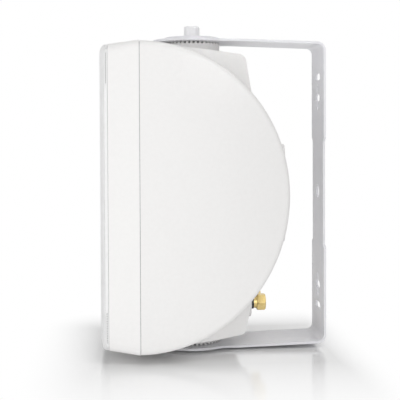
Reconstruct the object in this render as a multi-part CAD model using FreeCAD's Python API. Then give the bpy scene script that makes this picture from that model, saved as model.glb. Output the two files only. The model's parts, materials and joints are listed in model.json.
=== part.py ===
"""Two-way wall speaker with a moulded cabinet that swivels in a steel U-bracket.

All sizes are in millimetres. The origin is the centre hole of the bracket on its
wall face, +Z is up and the speaker faces -Y.
"""
import FreeCAD
import Part
import math
import os

V = FreeCAD.Vector

# Steel U-bracket
sheet = 1.6
bracket_width = 42.0
waist_width = 36.0
waist_height = 72.0
waist_slope = 2.5
bend_inner_radius = 4.5
leg_flare = 1.9
leg_knee = 62.0
leg_knee_radius = 30.0
pivot_reach = 92.0
end_radius = 28.0
neck_radius = 14.0
slot_spacing = 164.0
slot_width = 5.0
slot_length = 16.0
cross_spacing = 134.0
cross_arm = 5.0
cross_width = 14.0
cross_height = 18.0
centre_hole_diameter = 10.0

# Cabinet outline, front bezel and seam
cabinet_height = 206.0
cabinet_width = 118.0
leg_clearance = 2.6
seam_to_pivot = 38.0
seam_gap = 0.4
gasket_recess = 0.4
bezel_depth = 20.6
bezel_front_width = 111.0
bezel_front_height = 201.4
bezel_seam_corner = 5.0
bezel_front_corner = 8.0
bezel_edge_radius = 0.5
bezel_rim = 5.6
hollow_corner = 6.0
baffle_thickness = 5.0
panel_recess = 0.8
tongue_length = 4.0
tongue_clearance = 0.2

# Moulded rear housing: two curved cheeks with a narrower spine between them
wall = 3.0
cheek_depth = 100.5
cheek_setback = 0.6
cheek_tip_width = 94.0
cheek_rim_radius = 3.5
spine_width = 80.0
spine_tail_width = 54.0
spine_taper_start = 50.0
spine_pivot_height = 198.0
spine_corner_height = 190.0
spine_corner_depth = 72.0
spine_depth = 89.0
spine_corner_radius = 5.0
spine_back_radius = 60.0
spine_tail_radius = 9.0
pad_width = 44.0
pad_height = 68.0
pad_depth = 101.0
pad_edge_radius = 3.0

# Toothed swivel bosses and their pivot hardware
boss_diameter = 39.0
boss_tooth_inner = 29.0
tooth_count = 40
tooth_height = 1.2
tooth_gap_share = 0.5
tooth_clearance = 0.2
boss_root = 16.0
insert_diameter = 10.0
insert_length = 12.0
pivot_bolt_diameter = 6.0
pivot_bolt_head = 11.0
pivot_bolt_head_height = 8.0
pivot_bolt_socket = 5.0
pivot_bolt_socket_depth = 3.0
flat_bolt_socket_depth = 2.0
pivot_bolt_reach = 11.0
pivot_bolt_play = 0.5
clamp_disc_diameter = 39.0
clamp_disc_thickness = 2.1
lower_disc_thickness = 1.2
clamp_disc_edge = 0.6
running_clearance = 0.05
bracket_bolt_clearance = 0.3
face_clearance = 0.05

# Perforated steel grille
grille_sheet = 0.8
grille_depth = 6.5
grille_bow = 3.0
grille_rim_radius = 3.0
grille_inset = 0.3
grille_fit = 0.4
grille_lip_height = 1.2
grille_lip_thickness = 2.0
grille_columns = 7
grille_rows = 16
grille_hole = 6.5
grille_border = 11.5

# Mid-bass driver
woofer_z = -40.0
woofer_flange_diameter = 102.0
woofer_flange_thickness = 3.0
woofer_cutout_diameter = 91.0
driver_recess = 3.0
driver_fit = 0.3
basket_depth = 33.0
basket_neck_diameter = 62.0
basket_wall = 2.0
basket_window_width = 24.0
basket_window_root = 18.6
glue_width = 2.0
surround_width = 9.0
surround_roll = 2.0
cone_depth = 17.0
cone_thickness = 0.8
voice_coil_diameter = 25.0
voice_coil_wall = 0.7
dust_cap_diameter = 34.0
dust_cap_rise = 6.0
spider_diameter = 58.0
spider_thickness = 0.8
top_plate_thickness = 5.0
magnet_diameter = 70.0
magnet_bore = 32.0
magnet_thickness = 12.0
back_plate_diameter = 66.0
back_plate_thickness = 5.0
coil_gap = 0.6

# Dome tweeter
tweeter_z = 56.0
tweeter_flange_diameter = 66.0
tweeter_flange_thickness = 3.0
tweeter_cutout_diameter = 54.0
tweeter_dome_diameter = 26.0
tweeter_dome_rise = 6.0
tweeter_dome_thickness = 0.5
tweeter_horn_depth = 2.2
tweeter_horn_diameter = 48.0
tweeter_magnet_diameter = 50.0
tweeter_magnet_thickness = 15.0
tweeter_magnet_chamfer = 1.5

# Crossover board and its parts
board_width = 62.0
board_height = 48.0
board_thickness = 1.6
board_z = 40.0
board_depth = 58.0
board_post_diameter = 7.0
board_post_inset = 5.0
capacitor_diameter = 13.0
capacitor_length = 26.0
capacitor_chamfer = 1.0
coil_outer_diameter = 26.0
coil_inner_diameter = 13.0
coil_width = 11.0
bobbin_flange = 1.2
bobbin_rim = 1.0
bobbin_wall = 2.0
resistor_size = 8.0
resistor_length = 22.0
resistor_chamfer = 0.8

# Binding posts
post_spacing = 26.0
post_z = -76.8
terminal_pad_width = 44.0
terminal_pad_height = 20.0
terminal_pad_corner = 9.0
terminal_pad_rise = 2.2
insulator_diameter = 9.6
insulator_thickness = 2.2
insulator_sleeve = 6.4
stud_diameter = 4.0
stud_collar_diameter = 8.4
stud_collar_thickness = 1.3
post_washer_thickness = 0.9
post_washer_diameter = 8.8
post_nut_across = 10.6
post_nut_length = 6.0
post_nut_chamfer = 0.9
stud_end_recess = 1.0
lock_nut_across = 7.0
lock_nut_thickness = 2.6
stud_inner_length = 9.0

# Screws
baffle_screw_side_inset = 10.2
baffle_screw_end_inset = 7.4
baffle_post_diameter = 10.0
baffle_post_length = 22.0
baffle_post_rib = 2.4
baffle_screw_diameter = 4.0
baffle_screw_head = 7.5
driver_screw_diameter = 3.0
driver_screw_head = 6.0
driver_screw_length = 9.0
woofer_screw_circle = 95.0
tweeter_screw_circle = 59.0
board_screw_length = 10.0
screw_head_share = 0.6
screw_flat_share = 0.6
screw_clearance = 0.05

# Places that follow from the sizes above
pivot_y = -pivot_reach
seam_y = pivot_y - seam_to_pivot
bezel_front_y = seam_y - bezel_depth
panel_front_y = bezel_front_y + panel_recess
panel_back_y = panel_front_y + baffle_thickness
housing_front_y = seam_y + seam_gap / 2
bezel_back_y = seam_y - seam_gap / 2
cheek_half_height = cabinet_height / 2 - cheek_setback
leg_inner_z = cabinet_height / 2 + leg_clearance
leg_outer_z = leg_inner_z + sheet
boss_top_z = leg_inner_z - tooth_clearance
flange_back_y = panel_front_y + driver_recess
lip_front_y = bezel_front_y - grille_lip_height
board_back_y = seam_y + board_depth
far = 4 * cabinet_height
overrun = 1.1
tolerance = 0.01


def rod(diameter, start_y, end_y, x=0.0, z=0.0):
    """Round bar along Y."""
    return Part.makeCylinder(diameter / 2, end_y - start_y, V(x, start_y, z), V(0, 1, 0))


def post(diameter, low_z, high_z, x=0.0, y=0.0):
    """Round bar along Z."""
    return Part.makeCylinder(diameter / 2, high_z - low_z, V(x, y, low_z), V(0, 0, 1))


def block(low, high):
    """Box between two opposite corners."""
    return Part.makeBox(high[0] - low[0], high[1] - low[1], high[2] - low[2], V(*low))


def turned(profile, x, z):
    """Solid turned about an axis along Y, from (radius, y) corners."""
    corners = [V(radius, y, 0) for radius, y in profile]
    face = Part.Face(Part.makePolygon(corners + corners[:1]))
    solid = face.revolve(V(0, 0, 0), V(0, 1, 0), 360)
    solid.translate(V(x, 0, z))
    return solid


def rounded_outline(corners, radii):
    """Closed wire through corner points, each corner rounded to its own radius."""
    edges = []
    count = len(corners)
    joints = []
    for i, (corner, radius) in enumerate(zip(corners, radii)):
        to_last = (corners[i - 1] - corner).normalize()
        to_next = (corners[(i + 1) % count] - corner).normalize()
        half_turn = to_last.getAngle(to_next) / 2
        trim = radius / math.tan(half_turn)
        middle = corner + (to_last + to_next).normalize() * (radius / math.sin(half_turn) - radius)
        joints.append((corner + to_last * trim, middle, corner + to_next * trim))
    for i, (start, middle, end) in enumerate(joints):
        if radii[i] > 0:
            edges.append(Part.Arc(start, middle, end).toShape())
        next_start = joints[(i + 1) % count][0]
        if end.distanceToPoint(next_start) > 1e-6:
            edges.append(Part.makeLine(end, next_start))
    return Part.Wire(edges)


def rounded_rectangle(width, height, radius, y):
    """Wire in a plane facing -Y."""
    half_x = width / 2
    half_z = height / 2
    corners = [V(-half_x, y, -half_z), V(half_x, y, -half_z), V(half_x, y, half_z), V(-half_x, y, half_z)]
    return rounded_outline(corners, [radius] * 4)


def rounded_bar(width, height, radius, start_y, end_y):
    """Bar of rounded rectangular section along Y."""
    return Part.Face(rounded_rectangle(width, height, radius, start_y)).extrude(V(0, end_y - start_y, 0))


def save(name, shape):
    """Write one node, as a solid or a group of solids."""
    solids = shape.Solids
    clean = solids[0] if len(solids) == 1 else Part.makeCompound(solids)
    clean.exportStep("parts/" + name + ".step")


# Rear housing

def half_ellipse(depth, half_height, front_y, half_width):
    """D-shaped block: a half disc stretched to its two half-axes, extruded across X."""
    arc = Part.Arc(V(0, 0, -1), V(0, 1, 0), V(0, 0, 1)).toShape()
    chord = Part.makeLine(V(0, 0, 1), V(0, 0, -1))
    stretch = FreeCAD.Matrix()
    stretch.scale(V(1, depth, half_height))
    face = Part.Face(Part.Wire([arc, chord])).transformGeometry(stretch)
    face.translate(V(-half_width, front_y, 0))
    return face.extrude(V(2 * half_width, 0, 0))


def cheek_plan(half_width, depth, half_tip, front_y):
    """Plan of both cheeks: sides that start straight back and curve in towards the tip."""
    inward = half_width - half_tip
    radius = (depth ** 2 + inward ** 2) / (2 * inward)
    full_turn = math.asin(depth / radius) * overrun

    def on_side(turn):
        return V(half_width - radius + radius * math.cos(turn), front_y + radius * math.sin(turn), -far / 2)

    def mirrored(point):
        return V(-point.x, point.y, point.z)

    start, middle, end = on_side(0), on_side(full_turn / 2), on_side(full_turn)
    right = Part.Arc(start, middle, end).toShape()
    left = Part.Arc(mirrored(end), mirrored(middle), mirrored(start)).toShape()
    back = Part.makeLine(end, mirrored(end))
    front = Part.makeLine(mirrored(start), start)
    return Part.Face(Part.Wire([right, back, left, front])).extrude(V(0, 0, far))


def cheek_block(inset):
    """Full-width curved body that the two cheeks are cut from."""
    depth = cheek_depth - inset - seam_gap / 2
    half_height = cheek_half_height - inset
    half_width = cabinet_width / 2 - inset
    curved = half_ellipse(depth, half_height, housing_front_y, half_width)
    plan = cheek_plan(half_width, depth, cheek_tip_width / 2 - inset, housing_front_y)
    return curved.common(plan)


def is_rim(edge):
    """True for the long curved edges between a cheek's side and its back."""
    box = edge.BoundBox
    return box.ZLength > cabinet_height / 4 and box.YLength > cheek_depth / 4


def spine_profile(inset):
    """Side outline of the spine: sloping top and bottom and a shallow V at the back."""
    front = housing_front_y
    corner = seam_y + spine_corner_depth - inset
    back = seam_y + spine_depth - inset
    seam_z = cheek_half_height - inset
    pivot_z = spine_pivot_height / 2 - inset
    corner_z = spine_corner_height / 2 - inset
    corners = [V(0, front, -seam_z), V(0, pivot_y, -pivot_z), V(0, corner, -corner_z), V(0, back, 0),
               V(0, corner, corner_z), V(0, pivot_y, pivot_z), V(0, front, seam_z)]
    round_corner = spine_corner_radius - inset
    radii = [0, spine_back_radius, round_corner, spine_back_radius, round_corner, spine_back_radius, 0]
    return rounded_outline(corners, radii)


def spine_plan(inset):
    """Plan of the spine: straight beside the cheeks, then tapering to its tail."""
    front = housing_front_y
    taper = seam_y + spine_taper_start
    back = seam_y + spine_depth - inset
    half = spine_width / 2 - inset
    tail = spine_tail_width / 2 - inset
    corners = [V(-half, front, -far / 2), V(half, front, -far / 2), V(half, taper, -far / 2),
               V(tail, back, -far / 2), V(-tail, back, -far / 2), V(-half, taper, -far / 2)]
    tail_round = spine_tail_radius - inset
    return rounded_outline(corners, [0, 0, spine_back_radius, tail_round, tail_round, spine_back_radius])


def spine_block(inset):
    """Spine body, from its side outline and its plan."""
    side = Part.Face(spine_profile(inset)).extrude(V(far, 0, 0))
    side.translate(V(-far / 2, 0, 0))
    plan = Part.Face(spine_plan(inset)).extrude(V(0, 0, far))
    return side.common(plan)


def spine_back_y(z):
    """Outer back face of the spine at a height."""
    share = abs(z) / (spine_corner_height / 2)
    return seam_y + spine_depth - share * (spine_depth - spine_corner_depth)


def rear_pad(inset):
    """Raised pad on the middle of the spine's back."""
    start = seam_y + spine_depth / 2
    end = seam_y + pad_depth - inset
    radius = pad_edge_radius + wall - inset
    return rounded_bar(pad_width - 2 * inset, pad_height - 2 * inset, radius, start, end)


def boss(side):
    """Swivel boss with a crown of teeth; side is +1 at the top and -1 at the bottom."""
    root_z = boss_top_z - tooth_height
    body = post(boss_diameter, root_z - boss_root, root_z, 0, pivot_y)
    crown = post(boss_diameter, root_z, boss_top_z, 0, pivot_y)
    crown = crown.cut(post(boss_tooth_inner, root_z, boss_top_z, 0, pivot_y))
    pitch = math.pi * boss_diameter / tooth_count
    gap = pitch * tooth_gap_share
    cutter = block((boss_tooth_inner / 4, -gap / 2, root_z), (boss_diameter, gap / 2, boss_top_z))
    gaps = []
    for i in range(tooth_count):
        one = cutter.copy()
        one.rotate(V(0, 0, 0), V(0, 0, 1), 360 * i / tooth_count)
        one.translate(V(0, pivot_y, 0))
        gaps.append(one)
    crown = crown.cut(Part.makeCompound(gaps))
    solid = body.fuse(crown)
    if side < 0:
        solid.rotate(V(0, pivot_y, 0), V(0, 1, 0), 180)
    return solid


def baffle_screw_places():
    half_x = grille_width() / 2 - baffle_screw_side_inset
    half_z = grille_height() / 2 - baffle_screw_end_inset
    return [(x, z) for x in (-half_x, half_x) for z in (-half_z, half_z)]


def board_post_places():
    half_x = board_width / 2 - board_post_inset
    half_z = board_height / 2 - board_post_inset
    return [(x, board_z + z) for x in (-half_x, half_x) for z in (-half_z, half_z)]


def terminal_pad(start_y):
    """Flat oval land that the binding posts stand on."""
    end = pad_face_y()
    pad = rounded_bar(terminal_pad_width, terminal_pad_height, terminal_pad_corner, start_y, end)
    pad.translate(V(0, 0, post_z))
    return pad


def post_places():
    return {"black": post_spacing / 2, "red": -post_spacing / 2}


def rear_housing():
    outer = cheek_block(0)
    rims = [edge for edge in outer.Edges if is_rim(edge)]
    cheeks = outer.makeFillet(cheek_rim_radius, rims)
    half_spine = spine_width / 2
    between = block((-half_spine, housing_front_y - 1, -far / 2), (half_spine, far, far / 2))
    cheeks = cheeks.cut(between)
    body = cheeks.fuse([spine_block(0), rear_pad(0)])

    # The hollow runs from the spine into both cheeks
    beside = block((-half_spine - wall, housing_front_y - 1, -far / 2), (half_spine + wall, far, far / 2))
    inner = cheek_block(wall)
    hollow_cheeks = inner.cut(beside)
    passage = block((-half_spine - wall, housing_front_y, -far / 2),
                    (half_spine + wall, seam_y + spine_taper_start - wall, far / 2))
    full_spine = Part.Face(spine_profile(wall)).extrude(V(far, 0, 0))
    full_spine.translate(V(-far / 2, 0, 0))
    passage = passage.common(inner).common(full_spine)
    hollow = hollow_cheeks.fuse([passage, spine_block(wall), rear_pad(wall)])
    body = body.cut(hollow)

    # Lands, bosses and screw posts moulded onto the walls
    land_start = post_wall_inner_y()
    extras = [boss(1), boss(-1), terminal_pad(land_start)]
    start = housing_front_y + tongue_length + face_clearance
    half_rib = baffle_post_rib / 2
    for x, z in baffle_screw_places():
        screw_post = rod(baffle_post_diameter, start, start + baffle_post_length, x, z)
        low_z, high_z = sorted((z, math.copysign(far, z)))
        rib = block((x - half_rib, start, low_z), (x + half_rib, start + baffle_post_length, high_z))
        extras.append(screw_post.fuse(rib).common(outer))
    for x, z in board_post_places():
        extras.append(rod(board_post_diameter, board_back_y, spine_back_y(z) - wall / 2, x, z))
    body = body.fuse(extras)

    cuts = []
    for x in post_places().values():
        cuts.append(rod(insulator_sleeve, land_start - 1, pad_face_y(), x, post_z))
    for x, z in baffle_screw_places():
        depth = start + baffle_post_length - wall
        cuts.append(rod(baffle_screw_diameter + 2 * screw_clearance, start, depth, x, z))
    for x, z in board_post_places():
        cuts.append(rod(driver_screw_diameter + 2 * screw_clearance, board_back_y,
                        board_back_y + board_screw_length, x, z))
    for side in (1, -1):
        root = boss_top_z - tooth_height
        low, high = sorted((side * (root - boss_root - 1), side * root))
        cuts.append(post(pivot_bolt_diameter + 2 * pivot_bolt_play, low, high, 0, pivot_y))
        low, high = sorted((side * (root - insert_length), side * root))
        cuts.append(post(insert_diameter, low, high, 0, pivot_y))
    return body.cut(Part.makeCompound(cuts))


# Front bezel with its baffle, gasket and grille

def front_baffle():
    back = rounded_rectangle(cabinet_width, cabinet_height, bezel_seam_corner, bezel_back_y)
    front = rounded_rectangle(bezel_front_width, bezel_front_height, bezel_front_corner, bezel_front_y)
    body = Part.makeLoft([back, front], True, True)
    near_front = bezel_front_y + bezel_edge_radius / 10
    rim = [edge for edge in body.Edges if edge.BoundBox.YMax < near_front]
    body = body.makeFillet(bezel_edge_radius, rim)

    # A lip inside the rim carries the grille
    lip_inset = grille_sheet + grille_fit
    opening_inset = lip_inset + grille_lip_thickness
    body = body.fuse(grille_bar(lip_inset, lip_front_y, panel_front_y))
    body = body.cut(grille_bar(opening_inset, lip_front_y, panel_front_y))

    inner_width = cabinet_width - 2 * bezel_rim
    inner_height = cabinet_height - 2 * bezel_rim
    body = body.cut(rounded_bar(inner_width, inner_height, hollow_corner, panel_back_y, bezel_back_y + 1))

    # A tongue behind the seam locates the bezel in the housing
    tongue_end = housing_front_y + tongue_length
    tongue_width = cabinet_width - 2 * wall - 2 * tongue_clearance
    spine_slope = (cheek_half_height - spine_pivot_height / 2) / seam_to_pivot
    tongue_drop = spine_slope * (tongue_end - seam_y)
    tongue_height = 2 * (cheek_half_height - wall - tongue_drop - tongue_clearance)
    tongue = rounded_bar(tongue_width, tongue_height, hollow_corner, bezel_back_y, tongue_end)
    tongue_bore = rounded_bar(inner_width, inner_height, hollow_corner, bezel_back_y - 1, tongue_end + 1)
    tongue = tongue.cut(tongue_bore)
    extras = [tongue]
    for x, z in baffle_screw_places():
        extras.append(rod(baffle_post_diameter, panel_back_y, tongue_end, x, z))
    body = body.fuse(extras)

    cuts = []
    for diameter, cutout, z in ((woofer_flange_diameter, woofer_cutout_diameter, woofer_z),
                                (tweeter_flange_diameter, tweeter_cutout_diameter, tweeter_z)):
        cuts.append(rod(diameter + 2 * driver_fit, lip_front_y, flange_back_y, 0, z))
        cuts.append(rod(cutout + 2 * driver_fit, panel_front_y, panel_back_y, 0, z))
    for x, z in baffle_screw_places():
        cuts.append(rod(baffle_screw_diameter + 2 * screw_clearance, panel_front_y, tongue_end, x, z))
    for x, z in driver_screw_places(woofer_screw_circle, woofer_z):
        cuts.append(rod(driver_screw_diameter + 2 * screw_clearance, panel_front_y, panel_back_y, x, z))
    for x, z in driver_screw_places(tweeter_screw_circle, tweeter_z):
        cuts.append(rod(driver_screw_diameter + 2 * screw_clearance, panel_front_y, panel_back_y, x, z))
    for cut in cuts:
        body = body.cut(cut)
    return body


def baffle_gasket():
    """Foam strip in the seam; it shows as a fine dark line."""
    width = cabinet_width - 2 * gasket_recess
    height = cabinet_height - 2 * cheek_setback - 2 * gasket_recess
    ring = rounded_bar(width, height, bezel_seam_corner - gasket_recess, bezel_back_y, housing_front_y)
    tongue_width = cabinet_width - 2 * wall
    tongue_height = 2 * (cheek_half_height - wall)
    return ring.cut(rounded_bar(tongue_width, tongue_height, hollow_corner, bezel_back_y, housing_front_y))


def grille_width():
    return bezel_front_width - 2 * grille_inset


def grille_height():
    return bezel_front_height - 2 * grille_inset


def grille_bar(inset, start_y, end_y):
    """Bar along Y with the grille's outline, drawn in by an inset."""
    corner = bezel_front_corner - grille_inset - inset
    return rounded_bar(grille_width() - 2 * inset, grille_height() - 2 * inset, corner, start_y, end_y)


def grille_pillow(inset, back_y):
    """Block with the grille's outline, bowed across its width and rounded at its rim."""
    apex_y = bezel_front_y - grille_depth
    half = grille_width() / 2
    radius = (half ** 2 + grille_bow ** 2) / (2 * grille_bow)
    bow = Part.makeCylinder(radius - inset, far, V(0, apex_y + radius, -far / 2), V(0, 0, 1))
    body = grille_bar(inset, apex_y - grille_bow, back_y).common(bow)
    middle = back_y - (grille_depth - grille_bow) / 2
    rim = [edge for edge in body.Edges if edge.BoundBox.YMax < middle]
    return body.makeFillet(grille_rim_radius - inset, rim)


def grille():
    """Pressed steel grille: a shallow bowed pan with a rounded rim and a returned edge."""
    back = bezel_front_y - face_clearance
    body = grille_pillow(0, back).cut(grille_pillow(grille_sheet, back + grille_sheet))
    apex_y = bezel_front_y - grille_depth
    step_x = (grille_width() - 2 * grille_border) / (grille_columns - 1)
    step_z = (grille_height() - 2 * grille_border) / (grille_rows - 1)
    holes = []
    for row in range(grille_rows):
        shifted = row % 2
        for column in range(grille_columns - shifted):
            x = (column + shifted / 2 - (grille_columns - 1) / 2) * step_x
            z = (row - (grille_rows - 1) / 2) * step_z
            corners = [V(x + grille_hole / 2 * math.sin(k * math.pi / 3), apex_y - grille_bow,
                         z + grille_hole / 2 * math.cos(k * math.pi / 3)) for k in range(6)]
            face = Part.Face(Part.makePolygon(corners + corners[:1]))
            holes.append(face.extrude(V(0, grille_bow + grille_depth, 0)))
    return body.cut(Part.makeCompound(holes))


# Drivers

def driver_screw_places(circle, z):
    angles = [math.radians(45 + 90 * k) for k in range(4)]
    return [(circle / 2 * math.cos(a), z + circle / 2 * math.sin(a)) for a in angles]


def woofer_front_y():
    return flange_back_y - woofer_flange_thickness


def basket_back_y():
    return flange_back_y + basket_depth


def woofer_frame():
    front = woofer_front_y()
    back = basket_back_y()
    rim = woofer_cutout_diameter / 2
    neck = basket_neck_diameter / 2
    opening = rim - basket_wall
    flange = woofer_flange_diameter / 2
    floor = back - basket_wall
    body = turned([(opening, front), (flange, front), (flange, flange_back_y), (rim, flange_back_y),
                   (rim, panel_back_y), (neck, back), (voice_coil_diameter, back),
                   (voice_coil_diameter, floor), (neck - basket_wall, floor), (opening, panel_back_y)],
                  0, woofer_z)
    cuts = []
    for k in range(4):
        window = block((-basket_window_width / 2, panel_back_y + 2 * basket_wall, basket_window_root),
                       (basket_window_width / 2, back - 2 * basket_wall, rim + 1))
        window.rotate(V(0, 0, 0), V(0, 1, 0), 90 * k)
        window.translate(V(0, 0, woofer_z))
        cuts.append(window)
    for x, z in driver_screw_places(woofer_screw_circle, woofer_z):
        cuts.append(rod(driver_screw_diameter + 4 * screw_clearance, front, flange_back_y, x, z))
    return body.cut(Part.makeCompound(cuts))


def surround_outer():
    return woofer_flange_diameter / 2 - (woofer_flange_diameter - woofer_cutout_diameter) / 2


def surround_inner():
    return surround_outer() - surround_width


def cone_seat_y():
    return woofer_front_y() + cone_thickness


def woofer_surround():
    """Half-roll rubber edge between frame and cone."""
    outer = surround_outer() - basket_wall
    inner = surround_inner()
    seat = cone_seat_y()
    thick = cone_thickness
    middle = (outer + inner) / 2
    crest = seat - surround_roll
    profile = [(inner - glue_width, seat), (inner - glue_width, seat - thick), (inner, seat - thick),
               (middle, crest - thick), (outer, seat - thick), (outer, seat), (middle, crest), (inner, seat)]
    return turned(profile, 0, woofer_z)


def coil_top_y():
    return cone_seat_y() + cone_depth


def woofer_cone():
    """Paper cone with a short neck glued to the voice coil."""
    rim = surround_inner()
    neck = voice_coil_diameter / 2
    seat = cone_seat_y()
    thick = cone_thickness
    throat = coil_top_y()
    flat = rim - glue_width
    end = throat + glue_width
    profile = [(neck, throat), (neck, throat - thick), (flat, seat), (rim, seat), (rim, seat + thick),
               (flat, seat + thick), (neck + thick, throat), (neck + thick, end), (neck, end)]
    return turned(profile, 0, woofer_z)


def woofer_dust_cap():
    radius = dust_cap_diameter / 2
    neck = voice_coil_diameter / 2
    rim = surround_inner()
    share = (radius - neck) / (rim - glue_width - neck)
    throat = coil_top_y()
    seat = throat - cone_thickness + share * (cone_seat_y() - throat + cone_thickness) - face_clearance
    thick = cone_thickness
    steps = 5
    outside = []
    for k in range(steps + 1):
        turn = math.pi / 2 * k / steps
        outside.append((radius * math.cos(turn), seat - thick - dust_cap_rise * math.sin(turn)))
    inside = [(0, seat - dust_cap_rise), (radius - 2 * thick, seat - thick)]
    return turned([(radius, seat)] + outside + inside, 0, woofer_z)


def voice_coil():
    """Thin former with its winding, running in the magnet gap."""
    inner = voice_coil_diameter / 2 - voice_coil_wall
    outer = voice_coil_diameter / 2 - running_clearance
    end = basket_back_y() + top_plate_thickness
    start = coil_top_y() - cone_thickness
    return turned([(inner, start), (outer, start), (outer, end), (inner, end)], 0, woofer_z)


def spider_y():
    return basket_back_y() - basket_wall - spider_thickness


def woofer_spider():
    """Corrugated centring disc."""
    inner = voice_coil_diameter / 2 + face_clearance
    outer = spider_diameter / 2
    seat = spider_y()
    waves = 4
    step = (outer - inner - 2 * glue_width) / (2 * waves)
    front = [(inner, seat)]
    back = [(inner, seat + spider_thickness)]
    for k in range(1, 2 * waves):
        rise = spider_thickness * (k % 2)
        front.append((inner + k * step, seat - rise))
        back.append((inner + k * step, seat + spider_thickness - rise))
    front.append((outer, seat))
    back.append((outer, seat + spider_thickness))
    return turned(front + back[::-1], 0, woofer_z)


def woofer_top_plate():
    bore = voice_coil_diameter / 2 + coil_gap
    start = basket_back_y()
    end = start + top_plate_thickness
    edge = back_plate_diameter / 2
    return turned([(bore, start), (edge, start), (edge, end), (bore, end)], 0, woofer_z)


def woofer_magnet():
    start = basket_back_y() + top_plate_thickness
    end = start + magnet_thickness
    bore = magnet_bore / 2
    edge = magnet_diameter / 2
    return turned([(bore, start), (edge, start), (edge, end), (bore, end)], 0, woofer_z)


def woofer_yoke():
    """Back plate and pole piece, forged as one."""
    start = basket_back_y()
    seat = start + top_plate_thickness + magnet_thickness
    pole = voice_coil_diameter / 2 - voice_coil_wall - coil_gap / 2
    end = seat + back_plate_thickness
    edge = back_plate_diameter / 2
    return turned([(0, start), (pole, start), (pole, seat), (edge, seat), (edge, end), (0, end)],
                  0, woofer_z)


def tweeter_front_y():
    return flange_back_y - tweeter_flange_thickness


def tweeter_back_y():
    return flange_back_y + baffle_thickness


def tweeter_faceplate():
    """Flanged plate with a shallow flare around the dome."""
    front = tweeter_front_y()
    throat = tweeter_dome_diameter / 2 + glue_width
    barrel = tweeter_cutout_diameter / 2
    back = tweeter_back_y()
    edge = tweeter_flange_diameter / 2
    body = turned([(throat, front + tweeter_horn_depth), (tweeter_horn_diameter / 2, front), (edge, front),
                   (edge, flange_back_y), (barrel, flange_back_y), (barrel, back), (throat, back)],
                  0, tweeter_z)
    cuts = []
    for x, z in driver_screw_places(tweeter_screw_circle, tweeter_z):
        cuts.append(rod(driver_screw_diameter + 4 * screw_clearance, front, flange_back_y, x, z))
    return body.cut(Part.makeCompound(cuts))


def tweeter_dome():
    radius = tweeter_dome_diameter / 2
    seat = tweeter_back_y()
    thick = tweeter_dome_thickness
    rim = radius + glue_width - running_clearance
    steps = 6
    top = seat - tweeter_horn_depth - 2 * thick
    outside = []
    inside = []
    for k in range(steps + 1):
        turn = math.pi / 2 * k / steps
        outside.append((radius * math.cos(turn), top - tweeter_dome_rise * math.sin(turn)))
        inside.append(((radius - thick) * math.cos(turn),
                       top - (tweeter_dome_rise - thick) * math.sin(turn)))
    inside.reverse()
    profile = [(rim, seat), (rim, seat - thick), (radius, seat - thick)] + outside + inside
    return turned(profile + [(radius - thick, seat)], 0, tweeter_z)


def tweeter_magnet():
    start = tweeter_back_y()
    edge = tweeter_magnet_diameter / 2
    chamfer = tweeter_magnet_chamfer
    end = start + tweeter_magnet_thickness
    return turned([(0, start), (edge, start), (edge, end - chamfer), (edge - chamfer, end), (0, end)],
                  0, tweeter_z)


# Crossover

def board_front_y():
    return board_back_y - board_thickness


def crossover_board():
    half_x = board_width / 2
    half_z = board_height / 2
    body = block((-half_x, board_front_y(), board_z - half_z), (half_x, board_back_y, board_z + half_z))
    for x, z in board_post_places():
        hole = rod(driver_screw_diameter + 4 * screw_clearance, board_front_y(), board_back_y, x, z)
        body = body.cut(hole)
    return body


def crossover_capacitor():
    """Can lying along X on the board's upper half."""
    radius = capacitor_diameter / 2
    body = Part.makeCylinder(radius, capacitor_length, V(-capacitor_length, 0, 0), V(1, 0, 0))
    ends = [edge for edge in body.Edges if edge.BoundBox.XLength < capacitor_chamfer / 10]
    body = body.makeChamfer(capacitor_chamfer, ends)
    body.translate(V(-face_clearance, board_front_y() - radius, board_z + board_height / 4))
    return body


def crossover_coil():
    """Copper winding on its bobbin."""
    start = board_front_y() - bobbin_flange
    outer = coil_outer_diameter / 2
    inner = coil_inner_diameter / 2
    return turned([(inner, start), (outer, start), (outer, start - coil_width), (inner, start - coil_width)],
                  board_width / 4, board_z)


def coil_bobbin():
    start = board_front_y()
    inner = coil_inner_diameter / 2
    outer = coil_outer_diameter / 2 + bobbin_rim
    end = start - coil_width - 2 * bobbin_flange
    core = inner - running_clearance
    hole = core - bobbin_wall
    back_flange = start - bobbin_flange
    front_flange = end + bobbin_flange
    return turned([(hole, start), (outer, start), (outer, back_flange), (core, back_flange),
                   (core, front_flange), (outer, front_flange), (outer, end), (hole, end)],
                  board_width / 4, board_z)


def crossover_resistor():
    low_x = -board_width / 4 - resistor_length / 2
    front = board_front_y()
    low_z = board_z - board_height / 4 - resistor_size / 2
    high_x = low_x + resistor_length
    body = block((low_x, front - resistor_size, low_z), (high_x, front, low_z + resistor_size))
    long_edges = [edge for edge in body.Edges if edge.BoundBox.XLength > resistor_length / 2]
    return body.makeChamfer(resistor_chamfer, long_edges)


# Binding posts

def pad_face_y():
    return spine_back_y(post_z) + terminal_pad_rise


def collar_y():
    return pad_face_y() + insulator_thickness


def washer_y():
    return collar_y() + stud_collar_thickness + face_clearance


def nut_y():
    return washer_y() + post_washer_thickness + face_clearance


def post_wall_inner_y():
    return spine_back_y(post_z) - 2 * wall


def insulator(x):
    """Shouldered bush that keeps the stud clear of the housing."""
    face = pad_face_y()
    bore = stud_diameter / 2 + running_clearance
    sleeve = insulator_sleeve / 2 - running_clearance
    edge = insulator_diameter / 2
    inner = post_wall_inner_y()
    end = face + insulator_thickness
    return turned([(bore, inner), (sleeve, inner), (sleeve, face), (edge, face), (edge, end), (bore, end)],
                  x, post_z)


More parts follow.
